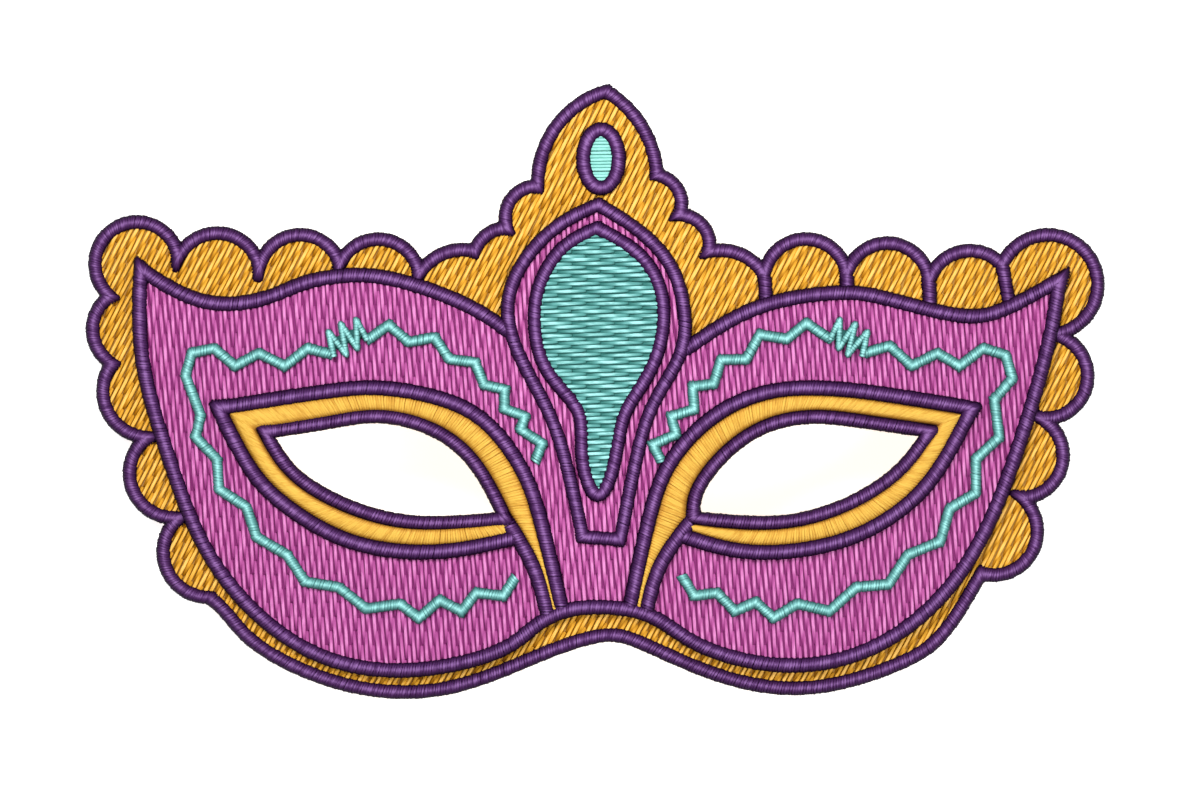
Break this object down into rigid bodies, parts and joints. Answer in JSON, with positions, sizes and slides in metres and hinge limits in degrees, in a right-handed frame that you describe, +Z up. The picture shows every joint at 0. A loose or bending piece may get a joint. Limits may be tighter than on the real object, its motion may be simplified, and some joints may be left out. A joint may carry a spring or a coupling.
{
  "type": "mardi gras mask",
  "caption": "Face-up felt half mask with almond eye holes, scalloped top and sides, pointed crest, drop-shaped gem medallion and padded satin outlines.",
  "frame": {"origin": "middle of the mask's outline on the surface it rests on", "axes": "+X across the mask to the right as its face is looked at, +Y up the forehead towards the crest, +Z up out of the face, which lies upwards"},
  "size_m": [0.2038, 0.1222, 0.0423],
  "materials": {
    "gold_felt": "stiffened felt covered with gold fill stitches, plain gold felt behind",
    "gold_satin": "bright gold satin stitch with a soft sheen",
    "magenta_felt": "magenta pink fill stitches",
    "purple_satin": "dull purple satin stitch over padding",
    "teal_felt": "teal fill stitches",
    "aqua_satin": "pale aqua satin stitch",
    "bright_teal_satin": "light teal satin stitch"
  },
  "bodies": {
    "root": {"backing": "gold_felt", "outer_border": "purple_satin", "scallop_seam_1": "purple_satin", "scallop_seam_2": "purple_satin", "scallop_seam_3": "purple_satin", "scallop_seam_4": "purple_satin", "face_panel": "magenta_felt", "panel_border": "purple_satin", "medallion_border": "purple_satin", "gem": "teal_felt", "gem_border": "purple_satin", "crest_gem": "aqua_satin", "crest_ring": "purple_satin", "eye_edge_left": "purple_satin", "eye_edge_right": "purple_satin", "eye_tail_left": "purple_satin", "eye_tail_right": "purple_satin", "eye_outline_left": "purple_satin", "eye_outline_right": "purple_satin", "eye_band_left": "gold_satin", "eye_band_right": "gold_satin", "zigzag_left": "bright_teal_satin", "zigzag_right": "bright_teal_satin"}
  },
  "joints": []
}
